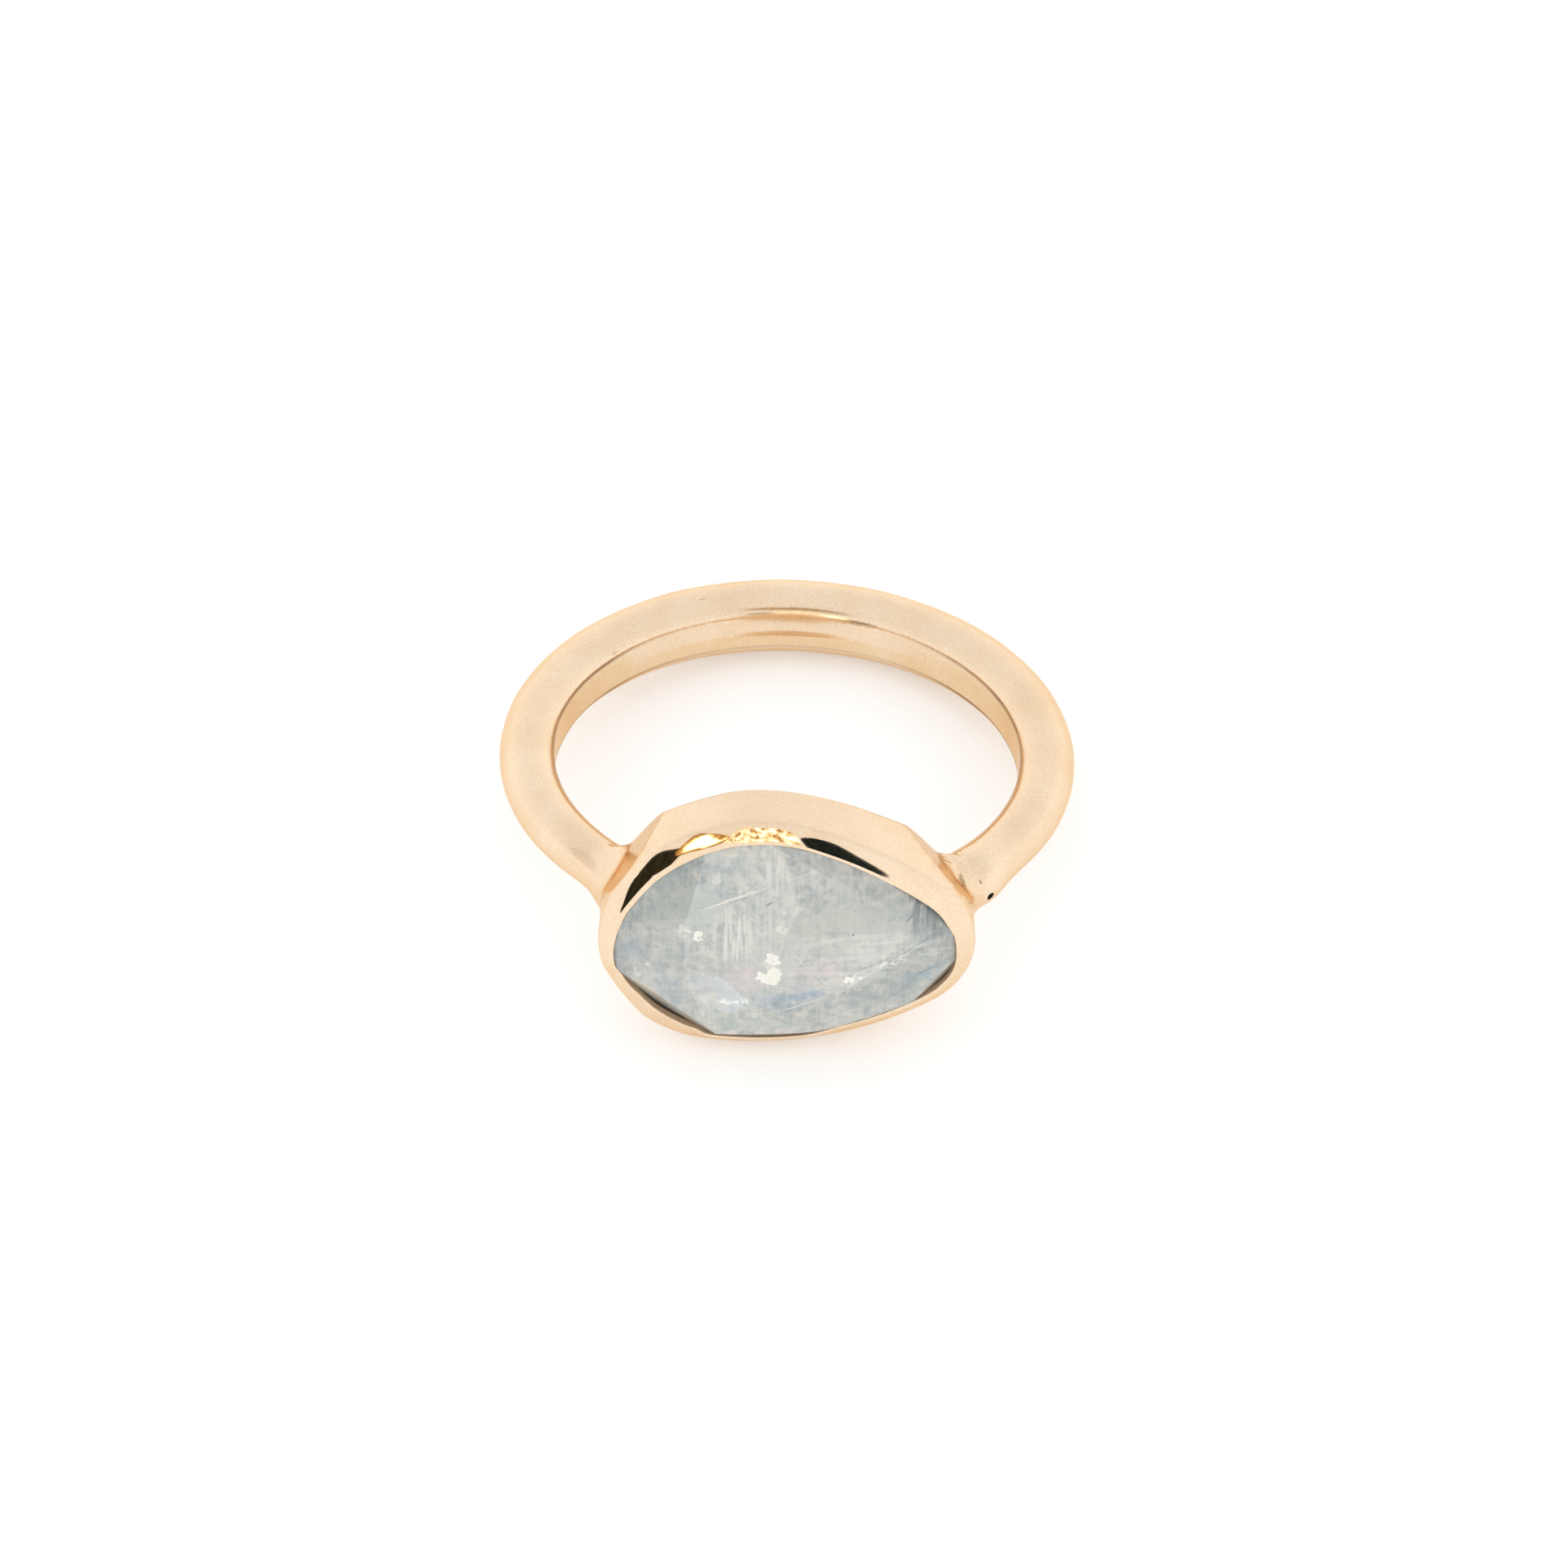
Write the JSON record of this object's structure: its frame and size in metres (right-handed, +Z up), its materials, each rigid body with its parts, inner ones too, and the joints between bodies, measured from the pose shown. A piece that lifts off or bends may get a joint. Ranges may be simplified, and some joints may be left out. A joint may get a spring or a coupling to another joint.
{
  "type": "moonstone ring",
  "caption": "Gold ring with a round wire shank and a rose-cut, free-form moonstone held in a rubbed-over cup setting.",
  "frame": {"origin": "on the surface that the ring lies on, under the middle of its bounding box", "axes": "+Z up, near the axis of the finger hole; -Y towards the stone; +X towards the stone's pointed end"},
  "size_m": [0.0212, 0.0227, 0.0098],
  "materials": {
    "gold": "satin rose gold, brightly polished on the rim",
    "moonstone": "polished facets, milky and translucent inside with fine layers"
  },
  "bodies": {
    "root": {"ring_body": "gold", "moonstone": "moonstone"}
  },
  "joints": []
}
